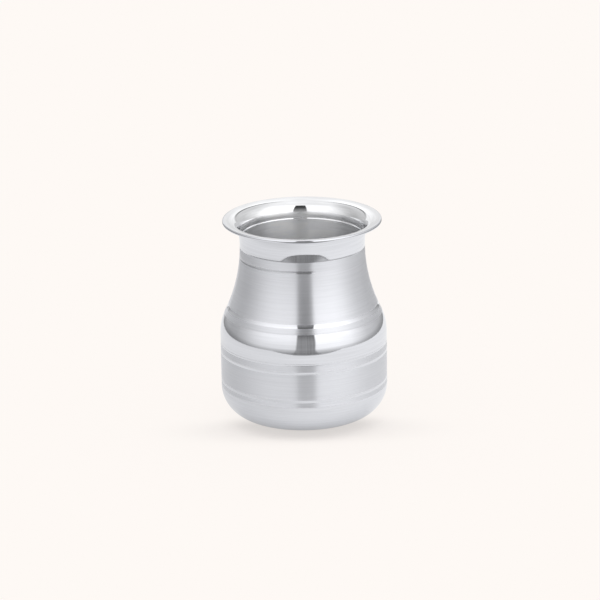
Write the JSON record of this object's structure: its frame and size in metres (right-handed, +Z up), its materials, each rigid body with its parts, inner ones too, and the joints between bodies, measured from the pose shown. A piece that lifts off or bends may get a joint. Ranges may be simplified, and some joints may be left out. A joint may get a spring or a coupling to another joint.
{
  "type": "lota",
  "caption": "Small round-bellied steel water pot with a gently hollowed neck, a wide flared mouth with a folded lip, a welded belly seam, turned lines and a flat base.",
  "frame": {"origin": "centre of the flat base, on the surface that the pot stands on", "axes": "+Z up along the pot's axis and out of the mouth; +X and +Y are alike, as the pot is round"},
  "size_m": [0.0536, 0.0536, 0.066],
  "materials": {
    "satin_steel": "stainless sheet, fine satin turned round the belly, with bright lines and a plain polished heel",
    "bright_steel": "stainless sheet, mirror polished on the lip, collar and shoulder, fine satin on the neck",
    "weld_steel": "weld metal, dressed flush and turned with the belly outside, a low bead inside"
  },
  "bodies": {
    "root": {"lower_bowl": "satin_steel", "seam_weld": "weld_steel", "upper_shell": "bright_steel"}
  },
  "joints": []
}
